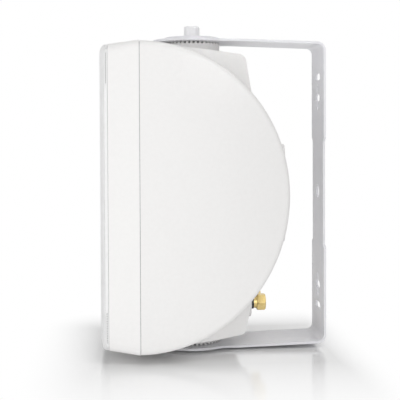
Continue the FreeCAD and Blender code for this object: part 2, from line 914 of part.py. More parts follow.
def binding_post(x):
    """Threaded stud with its collar."""
    shank = stud_diameter / 2
    edge = stud_collar_diameter / 2
    tail = post_wall_inner_y() - stud_inner_length
    start = collar_y()
    top = start + stud_collar_thickness
    end = nut_y() + post_nut_length - stud_end_recess
    return turned([(0, tail), (shank, tail), (shank, start), (edge, start), (edge, top), (shank, top),
                   (shank, end), (0, end)], x, post_z)


def post_washer(x):
    bore = stud_diameter / 2 + running_clearance
    edge = post_washer_diameter / 2
    start = washer_y()
    return turned([(bore, start), (edge, start), (edge, start + post_washer_thickness),
                   (bore, start + post_washer_thickness)], x, post_z)


def post_nut(x):
    """Hexagonal nut with both ends turned to a cone."""
    start = nut_y()
    end = start + post_nut_length
    flat = post_nut_across / 2
    corner = post_nut_across / math.sqrt(3)
    blank = turned([(0, start), (flat, start), (corner, start + post_nut_chamfer),
                    (corner, end - post_nut_chamfer), (flat, end), (0, end)], x, post_z)
    body = blank.common(hexagon_y(post_nut_across, start, end, x, post_z))
    return body.cut(rod(stud_diameter + 2 * running_clearance, start, end, x, post_z))


def hexagon_y(across, start_y, end_y, x, z):
    """Hexagonal bar along Y."""
    radius = across / math.sqrt(3)
    corners = [V(x + radius * math.cos(k * math.pi / 3), start_y, z + radius * math.sin(k * math.pi / 3))
               for k in range(6)]
    return Part.Face(Part.makePolygon(corners + corners[:1])).extrude(V(0, end_y - start_y, 0))


def post_lock_nuts():
    nuts = []
    end = post_wall_inner_y() - face_clearance
    for x in post_places().values():
        start = end - lock_nut_thickness
        nut = hexagon_y(lock_nut_across, start, end, x, post_z)
        nuts.append(nut.cut(rod(stud_diameter + 2 * running_clearance, start, end, x, post_z)))
    return Part.makeCompound(nuts)


# Screws

def pan_screw(diameter, head, seat_y, length, x, z):
    """Pan-head screw driven along +Y from its seat."""
    rise = head * screw_head_share / 2
    edge = head / 2
    shank = diameter / 2
    top = seat_y - rise
    end = seat_y + length
    body = turned([(0, top), (edge * screw_flat_share, top), (edge, seat_y - rise / 3), (edge, seat_y),
                   (shank, seat_y), (shank, end - shank), (0, end)], x, z)
    half_slot = diameter / 10
    slot = block((x - edge, top, z - half_slot), (x + edge, seat_y - rise / 2, z + half_slot))
    return body.cut(slot)


def baffle_screws():
    length = housing_front_y + tongue_length + baffle_post_length - 2 * wall - panel_front_y
    screws = [pan_screw(baffle_screw_diameter, baffle_screw_head, panel_front_y, length, x, z)
              for x, z in baffle_screw_places()]
    return Part.makeCompound(screws)


def driver_screws(circle, z, seat_y):
    screws = [pan_screw(driver_screw_diameter, driver_screw_head, seat_y, driver_screw_length, x, place_z)
              for x, place_z in driver_screw_places(circle, z)]
    return Part.makeCompound(screws)


def board_screws():
    screws = [pan_screw(driver_screw_diameter, driver_screw_head, board_front_y(), board_screw_length, x, z)
              for x, z in board_post_places()]
    return Part.makeCompound(screws)


# Bracket and pivots

def u_bracket():
    """Steel strip bent to a U, with round ends, a waisted back and its wall holes."""
    leg_start = pivot_y
    outer_radius = bend_inner_radius + sheet

    def half_path(wall_y, leg_z):
        return [V(0, leg_start, leg_z), V(0, -leg_knee, leg_z), V(0, wall_y, leg_z - leg_flare)]

    def lower(path):
        return [V(0, point.y, -point.z) for point in reversed(path)]

    outside = half_path(0, leg_outer_z)
    inside = half_path(-sheet, leg_inner_z)
    corners = outside + lower(outside) + lower(inside)[::-1] + inside[::-1]
    outer_radii = [0, leg_knee_radius, outer_radius]
    inner_radii = [0, leg_knee_radius, bend_inner_radius]
    radii = outer_radii + outer_radii[::-1] + inner_radii + inner_radii[::-1]
    strip = Part.Face(rounded_outline(corners, radii)).extrude(V(bracket_width, 0, 0))
    strip.translate(V(-bracket_width / 2, 0, 0))

    # The back is narrower between two sloped shoulders
    half_waist = waist_height / 2
    edge = bracket_width / 2
    narrow = waist_width / 2
    for side in (1, -1):
        shoulder = half_waist + waist_slope
        upper = [(edge + 1, shoulder), (edge, shoulder), (narrow, half_waist)]
        outline = upper + [(x, -z) for x, z in reversed(upper)]
        corners = [V(side * x, -2 * sheet, z) for x, z in outline]
        notch = Part.Face(Part.makePolygon(corners + corners[:1])).extrude(V(0, 3 * sheet, 0))
        strip = strip.cut(notch)

    ends = [post(2 * end_radius, leg_inner_z, leg_outer_z, 0, pivot_y),
            post(2 * end_radius, -leg_outer_z, -leg_inner_z, 0, pivot_y)]
    body = strip.fuse(ends).removeSplitter()
    reach = math.sqrt(end_radius ** 2 - (bracket_width / 2) ** 2)

    def is_neck(edge):
        box = edge.BoundBox
        upright = max(box.XLength, box.YLength, abs(box.ZLength - sheet)) < tolerance
        return upright and abs(box.YMin - pivot_y - reach) < tolerance

    body = body.makeFillet(neck_radius, [edge for edge in body.Edges if is_neck(edge)])

    cuts = []
    for side in (1, -1):
        slot = rounded_bar(slot_length, slot_width, slot_width / 2 - tolerance, -2 * sheet, sheet)
        slot.translate(V(0, 0, side * slot_spacing / 2))
        cuts.append(slot)
        flat = rounded_bar(cross_width, cross_arm, cross_arm / 2 - tolerance, -2 * sheet, sheet)
        upright = rounded_bar(cross_arm, cross_height, cross_arm / 2 - tolerance, -2 * sheet, sheet)
        cross = flat.fuse(upright)
        cross.translate(V(0, 0, side * cross_spacing / 2))
        cuts.append(cross)
    cuts.append(rod(centre_hole_diameter, -2 * sheet, sheet))
    pivot_hole = pivot_bolt_diameter + 2 * bracket_bolt_clearance
    cuts.append(post(pivot_hole, leg_inner_z - 1, leg_outer_z + 1, 0, pivot_y))
    cuts.append(post(pivot_hole, -leg_outer_z - 1, -leg_inner_z + 1, 0, pivot_y))
    cuts.append(upside_down(flat_bolt_cone(bracket_bolt_clearance)))
    for cut in cuts:
        body = body.cut(cut)
    return body


def upside_down(shape):
    """The same piece at the lower pivot."""
    turned_over = shape.copy()
    turned_over.rotate(V(0, pivot_y, 0), V(0, 1, 0), 180)
    return turned_over


def clamp_disc(thickness):
    low = leg_outer_z + face_clearance
    body = post(clamp_disc_diameter, low, low + thickness, 0, pivot_y)
    top = [edge for edge in body.Edges if edge.BoundBox.ZMin > low + thickness / 2
           and edge.BoundBox.ZLength < thickness / 10]
    body = body.makeFillet(clamp_disc_edge, top)
    bore = pivot_bolt_diameter + 2 * running_clearance
    return body.cut(post(bore, low, low + thickness, 0, pivot_y))


def socket_hexagon(top_z, depth):
    """Hexagonal driving socket that opens upwards."""
    radius = pivot_bolt_socket / math.sqrt(3)
    corners = [V(radius * math.cos(k * math.pi / 3), pivot_y + radius * math.sin(k * math.pi / 3), top_z)
               for k in range(6)]
    return Part.Face(Part.makePolygon(corners + corners[:1])).extrude(V(0, 0, -depth))


def pivot_bolt():
    """Socket-head bolt; it screws down into the brass insert of the boss."""
    seat = leg_outer_z + clamp_disc_thickness + 2 * face_clearance
    top_z = seat + pivot_bolt_head_height
    head = post(pivot_bolt_head, seat, top_z, 0, pivot_y)
    top = [edge for edge in head.Edges if edge.BoundBox.ZMin > (seat + top_z) / 2
           and edge.BoundBox.ZLength < pivot_bolt_head_height / 10]
    head = head.makeFillet(clamp_disc_edge, top)
    tip = seat - clamp_disc_thickness - sheet - pivot_bolt_reach
    body = head.fuse(post(pivot_bolt_diameter, tip, seat, 0, pivot_y))
    return body.cut(socket_hexagon(top_z, pivot_bolt_socket_depth))


def flat_bolt_top_z():
    return leg_outer_z + face_clearance + lower_disc_thickness


def flat_bolt_cone(gap):
    """Head of the flat-head bolt, sunk flush with the lower disc, grown by a gap all round."""
    rise = (pivot_bolt_head - pivot_bolt_diameter) / 2
    return Part.makeCone(pivot_bolt_diameter / 2 + gap, pivot_bolt_head / 2 + gap, rise,
                         V(0, pivot_y, flat_bolt_top_z() - rise), V(0, 0, 1))


def flat_bolt():
    """Flat-head bolt of the lower pivot, so that the speaker can also stand on its bracket."""
    top_z = flat_bolt_top_z()
    tip = top_z - lower_disc_thickness - sheet - pivot_bolt_reach
    shank = post(pivot_bolt_diameter, tip, top_z - flat_bolt_socket_depth / 2, 0, pivot_y)
    body = flat_bolt_cone(0).fuse(shank)
    return body.cut(socket_hexagon(top_z, flat_bolt_socket_depth))


def pivot_insert():
    """Brass insert moulded into the boss."""
    root = boss_top_z - tooth_height
    low = root - insert_length + face_clearance
    body = post(insert_diameter - 2 * running_clearance, low, root, 0, pivot_y)
    return body.cut(post(pivot_bolt_diameter + 2 * running_clearance, low, root, 0, pivot_y))


os.makedirs("parts", exist_ok=True)

save("u_bracket", u_bracket())
save("rear_housing", rear_housing())
save("front_baffle", front_baffle())
save("baffle_gasket", baffle_gasket())
save("grille", grille())
save("woofer_frame", woofer_frame())
save("woofer_surround", woofer_surround())
save("woofer_cone", woofer_cone())
save("woofer_dust_cap", woofer_dust_cap())
save("woofer_spider", woofer_spider())
save("voice_coil", voice_coil())
save("woofer_top_plate", woofer_top_plate())
save("woofer_magnet", woofer_magnet())
save("woofer_yoke", woofer_yoke())
save("tweeter_faceplate", tweeter_faceplate())
save("tweeter_dome", tweeter_dome())
save("tweeter_magnet", tweeter_magnet())
save("crossover_board", crossover_board())
save("crossover_capacitor", crossover_capacitor())
save("crossover_coil", crossover_coil())
save("coil_bobbin", coil_bobbin())
save("crossover_resistor", crossover_resistor())
save("baffle_screws", baffle_screws())
save("woofer_screws", driver_screws(woofer_screw_circle, woofer_z, woofer_front_y()))
save("tweeter_screws", driver_screws(tweeter_screw_circle, tweeter_z, tweeter_front_y()))
save("board_screws", board_screws())
save("post_lock_nuts", post_lock_nuts())
for colour, x in post_places().items():
    save("insulator_" + colour, insulator(x))
    save("binding_post_" + colour, binding_post(x))
    save("post_washer_" + colour, post_washer(x))
    save("post_nut_" + colour, post_nut(x))
save("pivot_insert_top", pivot_insert())
save("clamp_disc_top", clamp_disc(clamp_disc_thickness))
save("pivot_bolt_top", pivot_bolt())
save("pivot_insert_bottom", upside_down(pivot_insert()))
lower_disc = clamp_disc(lower_disc_thickness).cut(flat_bolt_cone(running_clearance))
save("clamp_disc_bottom", upside_down(lower_disc))
save("pivot_bolt_bottom", upside_down(flat_bolt()))
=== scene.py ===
# %% [markdown]
# # A white wall speaker in its steel bracket
#
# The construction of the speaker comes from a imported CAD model, in metres, with the
# wall at Y = 0, the front facing -Y and Z up. This lesson dresses that model: it sets the
# camera and the studio, gives every piece a finish, and models the pieces whose fine
# detail is too small for the construction, such as the perforated steel grille.

# %% Load the construction
import bpy
import json
import math
from mathutils import Matrix, Vector
from mathutils.kdtree import KDTree


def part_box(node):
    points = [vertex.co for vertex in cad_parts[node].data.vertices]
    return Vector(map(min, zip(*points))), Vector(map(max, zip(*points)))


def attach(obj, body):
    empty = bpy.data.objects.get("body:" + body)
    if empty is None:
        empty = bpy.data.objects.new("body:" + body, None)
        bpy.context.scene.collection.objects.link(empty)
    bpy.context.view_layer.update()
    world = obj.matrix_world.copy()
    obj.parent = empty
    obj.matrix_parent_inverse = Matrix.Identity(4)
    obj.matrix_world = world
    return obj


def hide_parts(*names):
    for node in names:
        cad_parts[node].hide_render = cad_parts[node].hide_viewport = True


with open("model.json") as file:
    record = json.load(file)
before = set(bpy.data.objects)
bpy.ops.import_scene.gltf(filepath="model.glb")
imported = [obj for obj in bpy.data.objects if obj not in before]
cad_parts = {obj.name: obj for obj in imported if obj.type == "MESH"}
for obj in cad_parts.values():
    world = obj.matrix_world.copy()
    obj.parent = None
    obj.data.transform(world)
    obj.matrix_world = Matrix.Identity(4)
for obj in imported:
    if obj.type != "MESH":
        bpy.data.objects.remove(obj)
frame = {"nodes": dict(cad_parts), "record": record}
scene = bpy.context.scene
scene.view_settings.view_transform = "Standard"
millimetre = 0.001


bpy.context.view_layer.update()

# %% [markdown]
# ## Camera
#
# The picture is taken from the right side of the speaker, about two thirds of a metre
# away and a little above its middle. The lens looks almost level, and a small vertical
# shift moves the speaker down in the frame without tilting its upright edges.
# A camera can be aimed with a Track To constraint, but here its three axes are worked
# out from a yaw, a pitch and a roll, because the roll matters as well.

# %% Place the camera
camera_place = (0.65685, -0.13712, 0.04444)
yaw = math.radians(4.41)
pitch = math.radians(-1.26)
roll = math.radians(-0.24)
picture_pixels = 400
focal_pixels = 924.83
centre_row = 150
level = math.cos(pitch)
sight = Vector((-math.cos(yaw) * level, math.sin(yaw) * level, math.sin(pitch)))
across = Vector((math.sin(yaw), math.cos(yaw), 0))
upright = across.cross(sight)
bpy.ops.object.camera_add(location=camera_place)
camera = bpy.context.object
camera.name = "camera"
aim = Matrix((across, upright, -sight)).transposed().to_4x4()
rolled = aim @ Matrix.Rotation(roll, 4, "Z")
camera.matrix_world = Matrix.Translation(camera.location) @ rolled
camera.data.sensor_width = 36
camera.data.lens = focal_pixels / picture_pixels * camera.data.sensor_width
camera.data.shift_y = (centre_row - picture_pixels / 2) / picture_pixels
scene.camera = camera
print("lens", round(camera.data.lens, 2), "mm, shift", camera.data.shift_y)

# %% [markdown]
# ## Helpers for the finishes
#
# Every finish is a Principled shader with a little texture on it: a noise that tints
# the colour, a finer one that makes the surface slightly uneven, and a spread of
# roughness. All of them read Object coordinates, which are the true places in metres,
# so a grain keeps its real size on every piece. Colours are written as they look on a
# screen, from 0 to 255, and turned into the linear values that a shader wants.

# %% Finish helpers
def screen_colour(red, green, blue):
    def linear(value):
        share = value / 255
        return share / 12.92 if share <= 0.04045 else ((share + 0.055) / 1.055) ** 2.4
    return (linear(red), linear(green), linear(blue), 1)


class Finish:
    """A procedural material under construction."""

    # Most of a noise lies between these two values
    noise_low = 0.3
    noise_high = 0.7

    def __init__(self, name, colour, roughness, metallic=0.0):
        self.material = bpy.data.materials.new(name)
        self.material.use_nodes = True
        self.nodes = self.material.node_tree.nodes
        self.links = self.material.node_tree.links
        self.shader = self.nodes["Principled BSDF"]
        self.shader.inputs["Base Color"].default_value = colour
        self.shader.inputs["Roughness"].default_value = roughness
        self.shader.inputs["Metallic"].default_value = metallic
        self.material.diffuse_color = colour
        self.place = self.nodes.new("ShaderNodeTexCoord").outputs["Object"]

    def stretched(self, scale):
        mapping = self.nodes.new("ShaderNodeMapping")
        mapping.inputs["Scale"].default_value = scale
        self.links.new(self.place, mapping.inputs["Vector"])
        return mapping.outputs["Vector"]

    def noise(self, grain, detail=3.0, scale=(1, 1, 1)):
        """Grain is the size of one speck in metres."""
        node = self.nodes.new("ShaderNodeTexNoise")
        node.inputs["Scale"].default_value = 1 / grain
        node.inputs["Detail"].default_value = detail
        self.links.new(self.stretched(scale), node.inputs["Vector"])
        return node.outputs["Fac"]

    def cells(self, grain):
        node = self.nodes.new("ShaderNodeTexVoronoi")
        node.inputs["Scale"].default_value = 1 / grain
        self.links.new(self.place, node.inputs["Vector"])
        return node.outputs["Distance"]

    def bands(self, pitch, axis):
        """Pitch is the distance from band to band in metres."""
        node = self.nodes.new("ShaderNodeTexWave")
        node.bands_direction = axis
        node.inputs["Scale"].default_value = math.pi / 10 / pitch
        self.links.new(self.place, node.inputs["Vector"])
        return node.outputs["Fac"]

    def tint(self, factor, dark, light, low=noise_low, high=noise_high):
        ramp = self.nodes.new("ShaderNodeValToRGB")
        ramp.color_ramp.elements[0].color = dark
        ramp.color_ramp.elements[0].position = low
        ramp.color_ramp.elements[1].color = light
        ramp.color_ramp.elements[1].position = high
        self.links.new(factor, ramp.inputs["Fac"])
        self.links.new(ramp.outputs["Color"], self.shader.inputs["Base Color"])
        return ramp.outputs["Color"]

    def gloss(self, factor, low, high):
        spread = self.nodes.new("ShaderNodeMapRange")
        spread.inputs["From Min"].default_value = self.noise_low
        spread.inputs["From Max"].default_value = self.noise_high
        spread.inputs["To Min"].default_value = low
        spread.inputs["To Max"].default_value = high
        self.links.new(factor, spread.inputs["Value"])
        self.links.new(spread.outputs["Result"], self.shader.inputs["Roughness"])

    def relief(self, factor, depth, strength=1.0):
        bump = self.nodes.new("ShaderNodeBump")
        bump.inputs["Distance"].default_value = depth
        bump.inputs["Strength"].default_value = strength
        self.links.new(factor, bump.inputs["Height"])
        self.links.new(bump.outputs["Normal"], self.shader.inputs["Normal"])

    def places(self):
        """The X, Y and Z of the place, each by itself."""
        split = self.nodes.new("ShaderNodeSeparateXYZ")
        self.links.new(self.place, split.inputs["Vector"])
        return split.outputs

    def maths(self, operation, first, second=None):
        """One Math node: its inputs are outputs of other nodes, or plain numbers."""
        node = self.nodes.new("ShaderNodeMath")
        node.operation = operation
        self.links.new(first, node.inputs[0])
        if isinstance(second, float):
            node.inputs[1].default_value = second
        elif second is not None:
            self.links.new(second, node.inputs[1])
        return node.outputs["Value"]


finishes = {}


def add_finish(slot, finish):
    finishes[slot] = finish.material
    print("finish", slot, "with", len(finish.nodes), "nodes")


# %% [markdown]
# ## White finishes
#
# The cabinet is a white moulding with a fine spark-eroded grain, the bracket, the clamp
# discs and the bolts have a satin powder coat, which is slightly wavy like orange peel,
# and the grille has the same coat, thinner. A single white would look like plaster, so
# each gets its own grain and a very slight tint.

# %% White mouldings and powder coats
cabinet_white = Finish("cabinet_plastic", screen_colour(240, 239, 238), 0.45)
cabinet_white.tint(cabinet_white.noise(0.0022),
                   screen_colour(239, 238, 237), screen_colour(241, 240, 239))
cabinet_white.gloss(cabinet_white.noise(0.004), 0.42, 0.5)
cabinet_white.relief(cabinet_white.noise(0.0007, 2), 0.00003, 0.5)
add_finish("cabinet_plastic", cabinet_white)

bracket_coat = Finish("bracket_paint", screen_colour(236, 236, 240), 0.38)
bracket_coat.tint(bracket_coat.noise(0.003),
                  screen_colour(234, 234, 238), screen_colour(238, 238, 241))
bracket_coat.gloss(bracket_coat.noise(0.006), 0.34, 0.44)
bracket_coat.relief(bracket_coat.noise(0.0012, 1), 0.00004, 0.5)
add_finish("bracket_paint", bracket_coat)

bolt_coat = Finish("bolt_paint", screen_colour(241, 241, 242), 0.35)
bolt_coat.tint(bolt_coat.noise(0.002), screen_colour(239, 239, 241), screen_colour(243, 243, 244))
bolt_coat.relief(bolt_coat.noise(0.0009, 1), 0.00003, 0.5)
add_finish("bolt_paint", bolt_coat)

grille_coat = Finish("grille_paint", screen_colour(241, 241, 241), 0.42)
grille_coat.tint(grille_coat.noise(0.003),
                 screen_colour(239, 239, 239), screen_colour(243, 243, 243))
grille_coat.relief(grille_coat.noise(0.0009, 1), 0.00002, 0.4)
add_finish("grille_paint", grille_coat)

# %% [markdown]
# ## Black and rubbery finishes
#
# Behind the grille everything is dark, so that nothing shines through the holes: the
# painted basket, the paper cone with its fibres, the rubber surround, the soft dome and
# the grey foam strip that shows as a thin line in the cabinet's seam.

# %% Driver and gasket finishes
foam = Finish("gasket_foam", screen_colour(172, 172, 174), 0.9)
foam.tint(foam.cells(0.0005), screen_colour(150, 150, 152), screen_colour(184, 184, 186), 0.1, 0.6)
foam.relief(foam.cells(0.0005), 0.0001, 0.6)
add_finish("gasket_foam", foam)

basket_black = Finish("driver_black", screen_colour(40, 40, 41), 0.45)
basket_black.tint(basket_black.noise(0.006), screen_colour(34, 34, 35), screen_colour(46, 46, 47))
basket_black.relief(basket_black.noise(0.001, 1), 0.00004, 0.5)
add_finish("driver_black", basket_black)

faceplate_black = Finish("driver_plastic", screen_colour(38, 38, 39), 0.55)
faceplate_black.tint(faceplate_black.noise(0.005),
                     screen_colour(33, 33, 34), screen_colour(43, 43, 44))
faceplate_black.relief(faceplate_black.noise(0.0005, 2), 0.00004, 0.6)
add_finish("driver_plastic", faceplate_black)

rubber = Finish("surround_rubber", screen_colour(32, 32, 33), 0.5)
rubber.tint(rubber.noise(0.004), screen_colour(27, 27, 28), screen_colour(38, 38, 39))
rubber.gloss(rubber.noise(0.002), 0.42, 0.6)
rubber.relief(rubber.noise(0.0006, 2), 0.00003, 0.4)
add_finish("surround_rubber", rubber)

paper = Finish("cone_paper", screen_colour(52, 51, 50), 0.85)
paper.tint(paper.noise(0.0015, 6), screen_colour(38, 38, 37), screen_colour(66, 65, 63))
paper.relief(paper.noise(0.0008, 6), 0.00015, 0.7)
add_finish("cone_paper", paper)

soft_dome = Finish("dome_cloth", screen_colour(42, 42, 43), 0.7)
soft_dome.tint(soft_dome.cells(0.0006),
               screen_colour(32, 32, 33), screen_colour(52, 52, 53), 0.1, 0.7)
soft_dome.relief(soft_dome.cells(0.0006), 0.00005, 0.6)
soft_dome.shader.inputs["Sheen Weight"].default_value = 0.3
add_finish("dome_cloth", soft_dome)

spider = Finish("spider_cloth", screen_colour(201, 168, 104), 0.85)
spider.tint(spider.noise(0.0006, 4), screen_colour(180, 146, 84), screen_colour(214, 184, 124))
spider.relief(spider.cells(0.0007), 0.0001, 0.6)
add_finish("spider_cloth", spider)

# %% [markdown]
# ## Metals
#
# The binding posts are gold-plated brass, turned on a lathe, and the steel of the motor is
# zinc-plated. Metals get their look from what they reflect, so their colour is strong
# and their roughness changes a little from place to place. Copper windings are made
# of fine wire, which a wave texture draws as a row of turns.

# %% Metal finishes
gold = Finish("gold_plate", screen_colour(230, 205, 140), 0.3, 1.0)
gold.tint(gold.noise(0.002), screen_colour(223, 197, 129), screen_colour(236, 213, 151))
gold.gloss(gold.noise(0.001), 0.3, 0.42)
gold.relief(gold.noise(0.0004, 2, (1, 6, 1)), 0.00001, 0.5)
add_finish("gold_plate", gold)

brass = Finish("insert_brass", screen_colour(214, 184, 110), 0.35, 1.0)
brass.tint(brass.noise(0.002), screen_colour(198, 166, 92), screen_colour(222, 194, 124))
brass.relief(brass.noise(0.0005, 2, (1, 1, 5)), 0.00002, 0.5)
add_finish("insert_brass", brass)

copper = Finish("copper_winding", screen_colour(200, 122, 74), 0.32, 1.0)
copper.tint(copper.bands(0.0005, "Y"),
            screen_colour(140, 78, 44), screen_colour(214, 138, 88), 0.1, 0.6)
copper.relief(copper.bands(0.0005, "Y"), 0.0001, 0.8)
add_finish("copper_winding", copper)

zinc = Finish("zinc_steel", screen_colour(190, 192, 196), 0.36, 1.0)
zinc.tint(zinc.noise(0.003, 5), screen_colour(172, 175, 180), screen_colour(204, 206, 208))
zinc.gloss(zinc.noise(0.0015), 0.28, 0.46)
add_finish("zinc_steel", zinc)

dark_screw = Finish("black_screw", screen_colour(58, 58, 60), 0.4, 1.0)
dark_screw.tint(dark_screw.noise(0.002), screen_colour(46, 46, 48), screen_colour(68, 68, 70))
dark_screw.gloss(dark_screw.noise(0.001), 0.34, 0.5)
add_finish("black_screw", dark_screw)

ferrite = Finish("ferrite", screen_colour(66, 66, 68), 0.6)
ferrite.tint(ferrite.noise(0.0012, 6), screen_colour(54, 54, 56), screen_colour(80, 80, 82))
ferrite.relief(ferrite.noise(0.0006, 4), 0.00008, 0.6)
add_finish("ferrite", ferrite)

# %% [markdown]
# ## Crossover and insulators
#
# The small circuit board, its capacitor sleeve, the ceramic resistor and the coloured
# nylon bushes of the binding posts finish the set.

# %% Board parts and bushes
laminate = Finish("board_laminate", screen_colour(184, 152, 98), 0.55)
laminate.tint(laminate.noise(0.0012, 6, (1, 1, 4)),
              screen_colour(168, 134, 80), screen_colour(196, 166, 112))
laminate.relief(laminate.noise(0.0006, 3), 0.00003, 0.5)
add_finish("board_laminate", laminate)

sleeve = Finish("capacitor_sleeve", screen_colour(58, 76, 140), 0.25)
sleeve.tint(sleeve.noise(0.004), screen_colour(50, 67, 128), screen_colour(64, 84, 150))
sleeve.relief(sleeve.noise(0.002, 2), 0.00003, 0.4)
add_finish("capacitor_sleeve", sleeve)

ceramic = Finish("resistor_ceramic", screen_colour(232, 230, 222), 0.7)
ceramic.tint(ceramic.noise(0.001, 5), screen_colour(216, 214, 206), screen_colour(240, 238, 231))
ceramic.relief(ceramic.noise(0.0005, 4), 0.00008, 0.6)
add_finish("resistor_ceramic", ceramic)

bush_colours = (("black", screen_colour(34, 34, 35), screen_colour(46, 46, 47)),
                ("red", screen_colour(176, 26, 28), screen_colour(196, 40, 38)))
for colour_name, dark, light in bush_colours:
    nylon = Finish("insulator_" + colour_name, light, 0.3)
    nylon.tint(nylon.noise(0.003), dark, light)
    nylon.relief(nylon.noise(0.0008, 2), 0.00002, 0.4)
    add_finish("insulator_" + colour_name, nylon)

# %% [markdown]
# ## Give every CAD node its finish
#
# The record says which slot each node takes its finish from, so one loop dresses the
# whole construction. The front of the baffle is the exception: behind the grille it is
# sprayed matt black. It gets its own finish, in which a mask of places, just inside
# the grille's rim, chooses between the white moulding and the black spray.

# %% Dress the nodes
slot_of = {part["node"]: part["material_slot"] for part in frame["record"]["subparts"]}
for name, node in frame["nodes"].items():
    node.data.materials.clear()
    node.data.materials.append(finishes[slot_of[name]])
print("dressed", len(slot_of), "nodes")

# %% Black spray behind the grille
grille_low, grille_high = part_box("grille")
grille_half_width = (grille_high.x - grille_low.x) / 2
grille_half_height = (grille_high.z - grille_low.z) / 2
grille_back = grille_high.y
grille_front = grille_low.y
spray_inset = 1.0 * millimetre
spray_depth = 1.2 * millimetre
spray_corner = 6.0 * millimetre

baffle_coat = Finish("baffle_plastic", screen_colour(243, 242, 241), 0.47)
white_grain = baffle_coat.tint(baffle_coat.noise(0.0022),
                               screen_colour(242, 241, 240), screen_colour(244, 243, 242))
baffle_places = baffle_coat.places()
aside = baffle_coat.maths("ABSOLUTE", baffle_places["X"])
aloft = baffle_coat.maths("ABSOLUTE", baffle_places["Z"])
corner_reach = grille_half_width + grille_half_height - spray_corner
within_width = baffle_coat.maths("LESS_THAN", aside, grille_half_width - spray_inset)
within_height = baffle_coat.maths("LESS_THAN", aloft, grille_half_height - spray_inset)
far_out = baffle_coat.maths("ADD", aside, aloft)
within_corner = baffle_coat.maths("LESS_THAN", far_out, corner_reach)
in_front = baffle_coat.maths("LESS_THAN", baffle_places["Y"], grille_back + spray_depth)
sprayed = baffle_coat.maths("MULTIPLY", within_width, within_height)
sprayed = baffle_coat.maths("MULTIPLY", sprayed, within_corner)
sprayed = baffle_coat.maths("MULTIPLY", sprayed, in_front)
spray = baffle_coat.nodes.new("ShaderNodeMix")
spray.data_type = "RGBA"
baffle_coat.links.new(sprayed, spray.inputs["Factor"])
baffle_coat.links.new(white_grain, spray.inputs["A"])
spray.inputs["B"].default_value = screen_colour(30, 30, 31)
baffle_coat.links.new(spray.outputs["Result"], baffle_coat.shader.inputs["Base Color"])
baffle_coat.relief(baffle_coat.noise(0.0007, 2), 0.00003, 0.5)
frame["nodes"]["front_baffle"].data.materials.clear()
frame["nodes"]["front_baffle"].data.materials.append(baffle_coat.material)
print("baffle finish with", len(baffle_coat.nodes), "nodes")

# %% [markdown]
# ## Perforated grille
#
# The real grille is a steel sheet with thousands of small holes in a staggered
# pattern, pressed into a shallow pan whose rim is rounded all the way round. The
# construction has a few large openings in their place. Cutting the holes with booleans
# would be slow, so the sheet is made as a metalworker would: a flat triangular lattice,
# wrapped over the pan's form, whose corner points are bevelled into small hexagons
# that are then punched out. A left and a right half keep each piece light: they meet
# in the middle, between two columns of holes, so that no hole is cut.

# %% Mesh helpers
def pick_only(piece):
    bpy.ops.object.select_all(action="DESELECT")
    piece.select_set(True)
    bpy.context.view_layer.objects.active = piece


def select_points(piece, wanted):
    """In edit mode, select the points for which wanted(place) is true."""
    bpy.ops.mesh.select_mode(type="VERT")
    bpy.ops.mesh.select_all(action="DESELECT")
    bpy.ops.object.mode_set(mode="OBJECT")
    for point in piece.data.vertices:
        point.select = wanted(point.co)
    bpy.ops.object.mode_set(mode="EDIT")


# %% Size the pattern
hole_pitch = 1.6 * millimetre
hole_radius = 0.5 * millimetre
sheet_thickness = 0.8 * millimetre
rim_radius = 3.0 * millimetre
plan_corner = 7.7 * millimetre
bow = 3.0 * millimetre
plain_edge = 1.6 * millimetre
plain_end_edge = 0.3 * millimetre
end_length = 26 * millimetre
edge_allowance = 9.0 * millimetre
edge_gap = 0.12 * millimetre
sheet_smooth_angle = math.radians(40)
column_step = hole_pitch * math.sqrt(3) / 2
bow_radius = (grille_half_width ** 2 + bow ** 2) / (2 * bow)
columns = math.ceil((grille_half_width + edge_allowance) / column_step) + 2
rows = 2 * math.ceil((grille_half_height + edge_allowance) / hole_pitch) + 1
print("lattice", columns, "columns of", rows, "points for each half")


# %% Wrap a flat point over the pan
def pan_place(flat_x, flat_z):
    """Where a point of the flat sheet goes when the pan is pressed."""
    core_x = grille_half_width - plan_corner
    core_z = grille_half_height - plan_corner
    core_radius = plan_corner - rim_radius
    near_x = max(-core_x, min(core_x, flat_x))
    near_z = max(-core_z, min(core_z, flat_z))
    out_x = flat_x - near_x
    out_z = flat_z - near_z
    reach = math.hypot(out_x, out_z)
    past = max(0.0, reach - core_radius)
    quarter = rim_radius * math.pi / 2
    if past < quarter:
        spread = rim_radius * math.sin(past / rim_radius)
        drop = rim_radius * (1 - math.cos(past / rim_radius))
    else:
        spread = rim_radius
        drop = rim_radius + past - quarter
    share = (min(reach, core_radius) + spread) / reach if reach > 0 else 1
    x = near_x + out_x * share
    z = near_z + out_z * share
    bowed = bow_radius - math.sqrt(bow_radius ** 2 - x ** 2)
    return Vector((x, grille_front + bowed + drop, z))


def plain_width(z):
    """How wide the rim without holes is: near the ends the holes run on over the rim."""
    return plain_end_edge if abs(z) > grille_half_height - end_length else plain_edge


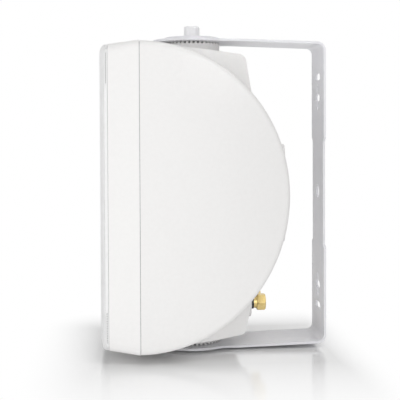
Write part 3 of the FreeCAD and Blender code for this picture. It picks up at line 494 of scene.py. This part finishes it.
# %% Press and punch one half
def grille_half(name, first_column, outward):
    """One half of the grille, from its first column on, outward along +X or -X."""
    bpy.ops.object.select_all(action="DESELECT")
    bpy.ops.mesh.primitive_grid_add(x_subdivisions=columns - 1, y_subdivisions=rows - 1, size=1)
    piece = bpy.context.object
    piece.name = name
    piece.data.name = name

    # Spread the grid to its pitch and shift every other column by half a step
    half_rows = (rows - 1) / 2
    for point in piece.data.vertices:
        column = first_column + round((point.co.x + 0.5) * (columns - 1))
        row = round((point.co.y + 0.5) * (rows - 1))
        point.co = ((column + 0.5) * column_step, 0,
                    (row - half_rows + (column % 2) / 2) * hole_pitch)
    bpy.ops.object.mode_set(mode="EDIT")
    bpy.ops.mesh.select_all(action="SELECT")
    bpy.ops.mesh.quads_convert_to_tris(quad_method="SHORTEST_DIAGONAL")
    bpy.ops.object.mode_set(mode="OBJECT")

    # Press the lattice over the pan
    for point in piece.data.vertices:
        point.co = pan_place(point.co.x, point.co.z)
    hole_places = [point.co.copy() for point in piece.data.vertices
                   if point.co.y < grille_back - plain_width(point.co.z) - hole_radius
                   and point.co.x * outward > 0]
    finder = KDTree(len(hole_places))
    for index, place in enumerate(hole_places):
        finder.insert(place, index)
    finder.balance()

    def is_hole(place):
        return finder.find(place)[2] < hole_radius / 4

    # Bevel the lattice points to hexagons and punch them out
    bpy.ops.object.mode_set(mode="EDIT")
    select_points(piece, is_hole)
    bpy.ops.mesh.bevel(offset=hole_radius, offset_type="OFFSET", segments=1, affect="VERTICES")
    bpy.ops.mesh.select_mode(type="FACE")
    bpy.ops.mesh.select_all(action="DESELECT")
    bpy.ops.object.mode_set(mode="OBJECT")
    for face in piece.data.polygons:
        face.select = is_hole(face.center)
    bpy.ops.object.mode_set(mode="EDIT")
    bpy.ops.mesh.delete(type="FACE")

    # Trim the edges straight
    back_cut = ((0, grille_back - edge_gap, 0), (0, 1, 0))
    middle_cut = ((0, 0, 0), (-outward, 0, 0))
    for place, direction in (back_cut, middle_cut):
        bpy.ops.mesh.select_all(action="SELECT")
        bpy.ops.mesh.bisect(plane_co=place, plane_no=direction, clear_outer=True)
    bpy.ops.mesh.select_all(action="SELECT")
    bpy.ops.mesh.normals_make_consistent(inside=False)
    bpy.ops.object.mode_set(mode="OBJECT")

    # Make sure that the sheet faces forwards, and give it its thickness
    front_area = sum(face.area * face.normal.y for face in piece.data.polygons)
    if front_area > 0:
        bpy.ops.object.mode_set(mode="EDIT")
        bpy.ops.mesh.select_all(action="SELECT")
        bpy.ops.mesh.flip_normals()
        bpy.ops.object.mode_set(mode="OBJECT")
    wall = piece.modifiers.new("sheet", "SOLIDIFY")
    wall.thickness = sheet_thickness
    wall.offset = -1
    bpy.ops.object.modifier_apply(modifier=wall.name)
    bpy.ops.object.shade_smooth_by_angle(angle=sheet_smooth_angle)
    piece.data.materials.append(finishes["grille_paint"])
    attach(piece, "cabinet")
    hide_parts("grille")
    triangles = sum(len(face.vertices) - 2 for face in piece.data.polygons)
    print(name, len(hole_places), "holes", triangles, "triangles")


# %% Make both halves
grille_half("grille_right", -1, 1)
grille_half("grille_left", 1 - columns, -1)

# %% [markdown]
# ## Bracket with broken edges
#
# The bracket is a bent steel strip. Its real edges are slightly rounded by the
# tumbling and the paint, and that small round catches the light. The construction's
# mesh is loose triangles, so a copy is merged, its flat faces are joined again, and
# its sharp edges are bevelled. Weighted normals then keep the large faces flat in the
# light, so that only the bevels turn. The copy stands for the node.

# %% Merge, join and bevel helper
weld_distance = 0.002 * millimetre
flat_angle = math.radians(0.3)
sharp_angle = math.radians(35)
edge_smooth_angle = math.radians(60)


def edged_copy(node_name, piece_name, body, width):
    """A copy of a CAD node whose sharp edges are rounded."""
    node = frame["nodes"][node_name]
    piece = bpy.data.objects.new(piece_name, node.data.copy())
    piece.data.name = piece_name
    scene.collection.objects.link(piece)
    pick_only(piece)
    bpy.ops.mesh.customdata_custom_splitnormals_clear()
    bpy.ops.object.mode_set(mode="EDIT")
    bpy.ops.mesh.select_mode(type="EDGE")
    bpy.ops.mesh.select_all(action="SELECT")
    bpy.ops.mesh.remove_doubles(threshold=weld_distance)
    bpy.ops.mesh.dissolve_limited(angle_limit=flat_angle)
    bpy.ops.mesh.select_all(action="DESELECT")
    bpy.ops.mesh.edges_select_sharp(sharpness=sharp_angle)
    bpy.ops.mesh.bevel(offset=width, offset_type="OFFSET", segments=2,
                       affect="EDGES", clamp_overlap=True)
    bpy.ops.object.mode_set(mode="OBJECT")
    bpy.ops.object.shade_smooth_by_angle(angle=edge_smooth_angle)
    flat_faces = piece.modifiers.new("flat_faces", "WEIGHTED_NORMAL")
    flat_faces.keep_sharp = True
    bpy.ops.object.modifier_apply(modifier=flat_faces.name)
    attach(piece, body)
    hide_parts(node_name)
    print(piece_name, len(piece.data.polygons), "faces")


# %% Round the bracket's edges
edged_copy("u_bracket", "bracket_strip", "bracket", 0.35 * millimetre)

# %% [markdown]
# ## Table
#
# The speaker stands on a glossy white table in front of white. The floor is a disc that
# shows the shadow and a reflection near the speaker, and turns to plain white further
# out. Two oblongs on the floor, worked out from the places with Math nodes, say how far
# out that is. Where neither the camera nor a reflection sees it, the table outside the
# speaker's foot glows a little, as a lit table throws light back up.

# %% Floor
floor_height = -0.1086
floor_radius = 3
floor_sides = 96
floor_ior = 2.2
bpy.ops.object.select_all(action="DESELECT")
bpy.ops.mesh.primitive_circle_add(vertices=floor_sides, radius=floor_radius, fill_type="NGON",
                                  location=(0, 0, floor_height))
floor = bpy.context.object
floor.name = "floor"
bpy.ops.object.transform_apply(location=True)
floor_finish = Finish("floor_white", screen_colour(252, 252, 252), 0.1)
floor_finish.gloss(floor_finish.noise(0.05), 0.08, 0.13)
floor_finish.shader.inputs["IOR"].default_value = floor_ior
floor.data.materials.append(floor_finish.material)
print("floor at", floor_height)

# %% Zones of the floor
floor_maths = floor_finish.maths
floor_places = floor_finish.places()


def outside_oblong(low, high, low_fade, high_fade):
    """Zero inside an oblong on the floor, one past its fades, rising fast at first."""
    squares = []
    for axis in (0, 1):
        below = floor_maths("SUBTRACT", floor_places[axis], low[axis])
        above = floor_maths("SUBTRACT", floor_places[axis], high[axis])
        below_share = floor_maths("DIVIDE", below, -low_fade[axis])
        above_share = floor_maths("DIVIDE", above, high_fade[axis])
        share = floor_maths("MAXIMUM", floor_maths("MAXIMUM", below_share, above_share), 0.0)
        squares.append(floor_maths("POWER", share, 2.0))
    distance = floor_maths("SQRT", floor_maths("ADD", *squares))
    left_over = floor_finish.nodes.new("ShaderNodeMapRange")
    left_over.inputs["To Min"].default_value = 1.0
    left_over.inputs["To Max"].default_value = 0.0
    floor_finish.links.new(distance, left_over.inputs["Value"])
    negative = floor_maths("MULTIPLY", floor_maths("POWER", left_over.outputs["Result"], 2.0), -1.0)
    return floor_maths("ADD", negative, 1.0)


outside_shadow = outside_oblong((-0.055, -0.158), (0.06, 0.0), (0.07, 0.05), (0.16, 0.03))
outside_foot = outside_oblong((-0.06, -0.158), (0.06, 0.0), (0.05, 0.05), (0.05, 0.05))
print("floor zones with", len(floor_finish.nodes), "nodes")

# %% White and glow of the floor
table_glow = 1.05
glow_end = 0.03
floor_path = floor_finish.nodes.new("ShaderNodeLightPath").outputs
seen = floor_maths("MAXIMUM", floor_path["Is Camera Ray"], floor_path["Is Glossy Ray"])
unseen = floor_maths("LESS_THAN", seen, 0.5)
seen_white = floor_maths("MULTIPLY", seen, outside_shadow)
before_wall = floor_maths("LESS_THAN", floor_places["Y"], glow_end)
unseen_glow = floor_maths("MULTIPLY", floor_maths("MULTIPLY", unseen, outside_foot), before_wall)
blend = floor_maths("ADD", seen_white, unseen_glow)
strength = floor_maths("ADD", seen, floor_maths("MULTIPLY", unseen, table_glow))
far_white = floor_finish.nodes.new("ShaderNodeEmission")
floor_finish.links.new(strength, far_white.inputs["Strength"])
floor_mix = floor_finish.nodes.new("ShaderNodeMixShader")
floor_finish.links.new(blend, floor_mix.inputs["Fac"])
floor_finish.links.new(floor_finish.shader.outputs["BSDF"], floor_mix.inputs[1])
floor_finish.links.new(far_white.outputs["Emission"], floor_mix.inputs[2])
floor_output = floor_finish.nodes["Material Output"]
floor_finish.links.new(floor_mix.outputs["Shader"], floor_output.inputs["Surface"])
print("floor finish with", len(floor_finish.nodes), "nodes")

# %% [markdown]
# ## Light
#
# The world is white where the camera or a reflection sees it, and a dimmer soft light
# for everything else, stronger from the speaker's right side than from the rest. One
# large soft lamp stands level with the speaker, between its right side and its front,
# so that the cheeks shade gently towards the wall. A weak one stands at its right side,
# and a very weak, narrow one lights the boss below the upper disc. One hangs above and
# lights the table.

# %% World
strong_side = Vector((0.9, -0.3, -0.1)).normalized()
weak_light = 0.35
strong_light = 0.46
white = (1, 1, 1, 1)
world = bpy.data.worlds.new("studio_white")
scene.world = world
world.use_nodes = True
sky_nodes = world.node_tree.nodes
sky_links = world.node_tree.links
sky_side = sky_nodes.new("ShaderNodeVectorMath")
sky_side.operation = "DOT_PRODUCT"
sky_side.inputs[1].default_value = strong_side
sky_direction = sky_nodes.new("ShaderNodeTexCoord").outputs["Generated"]
sky_links.new(sky_direction, sky_side.inputs[0])
sky_range = sky_nodes.new("ShaderNodeMapRange")
sky_range.inputs["To Min"].default_value = weak_light
sky_range.inputs["To Max"].default_value = strong_light
sky_links.new(sky_side.outputs["Value"], sky_range.inputs["Value"])
soft_light = sky_nodes["Background"]
soft_light.inputs["Color"].default_value = white
sky_links.new(sky_range.outputs["Result"], soft_light.inputs["Strength"])
seen_sky = sky_nodes.new("ShaderNodeBackground")
seen_sky.inputs["Color"].default_value = white
seen_sky.inputs["Strength"].default_value = 1.0
sky_path = sky_nodes.new("ShaderNodeLightPath").outputs
sky_seen = sky_nodes.new("ShaderNodeMath")
sky_seen.operation = "MAXIMUM"
sky_links.new(sky_path["Is Camera Ray"], sky_seen.inputs[0])
sky_links.new(sky_path["Is Glossy Ray"], sky_seen.inputs[1])
sky_mix = sky_nodes.new("ShaderNodeMixShader")
sky_links.new(sky_seen.outputs["Value"], sky_mix.inputs["Fac"])
sky_links.new(soft_light.outputs["Background"], sky_mix.inputs[1])
sky_links.new(seen_sky.outputs["Background"], sky_mix.inputs[2])
sky_links.new(sky_mix.outputs["Shader"], sky_nodes["World Output"].inputs["Surface"])
print("world light from", weak_light, "to", strong_light)

# %% Lamps
speaker_middle = (0, -0.09, 0)
upper_boss = (0.02, -0.07, 0.111)


def soft_lamp(name, place, size, power, aim=speaker_middle, spread=180):
    """A square soft lamp aimed at a point of the speaker: spread is its beam in degrees."""
    bpy.ops.object.select_all(action="DESELECT")
    bpy.ops.object.light_add(type="AREA", location=place)
    lamp = bpy.context.object
    lamp.name = name
    lamp.data.size = size
    lamp.data.energy = power
    lamp.data.spread = math.radians(spread)
    direction = Vector(aim) - Vector(place)
    lamp.rotation_euler = direction.to_track_quat("-Z", "Y").to_euler()
    print(name, power, "W at", place)


soft_lamp("front_lamp", (0.5, -1.1, 0.03), size=0.7, power=2.9)
soft_lamp("side_lamp", (0.8, -0.05, 0.1), size=0.4, power=1.05)
soft_lamp("table_lamp", (0.45, 0.25, 1.2), size=0.8, power=4.8)
soft_lamp("boss_lamp", (0.5, 0.0, 0.105), size=0.03, power=0.0012, aim=upper_boss, spread=14)
